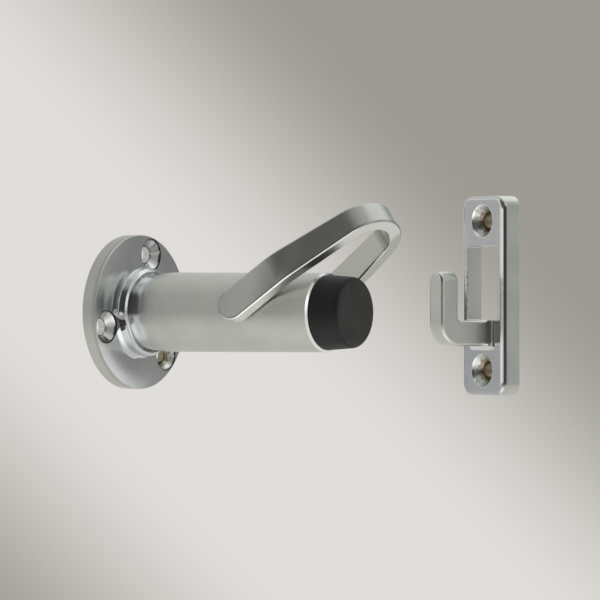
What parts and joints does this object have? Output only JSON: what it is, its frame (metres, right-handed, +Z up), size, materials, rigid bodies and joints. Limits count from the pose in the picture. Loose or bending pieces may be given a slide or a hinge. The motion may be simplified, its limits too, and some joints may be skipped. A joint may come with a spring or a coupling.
{
  "type": "door stop with holder",
  "caption": "Satin chrome wall door stop with a rubber buffer and a swinging bail, and the hook plate on the door that the bail catches.",
  "frame": {"origin": "centre of the stop's wall face, on the tube's axis", "axes": "+X out of the wall along the tube, +Z up, the bail's pivot along Y; the hook plate is placed beside the stop as it is shown, turned and leaning"},
  "size_m": [0.1438, 0.05, 0.0612],
  "materials": {
    "satin_chrome": "satin chrome plated zinc casting, polished flange face and neck",
    "satin_chrome_bail": "satin chrome",
    "satin_chrome_plate": "satin chrome, polished front face",
    "pin_steel": "turned",
    "black_rubber": "matt moulded rubber"
  },
  "bodies": {
    "stop": {"stop_body": "satin_chrome", "pivot_pin": "pin_steel", "rubber_buffer": "black_rubber", "hook_plate": "satin_chrome_plate"},
    "bail": {"bail_loop": "satin_chrome_bail"}
  },
  "joints": [
    {"name": "bail_swing", "type": "hinge", "parent": "stop", "child": "bail", "pos_m": [0.055, 0, 0], "axis": [0, -1, 0], "range_deg": [-13, 110]}
  ]
}
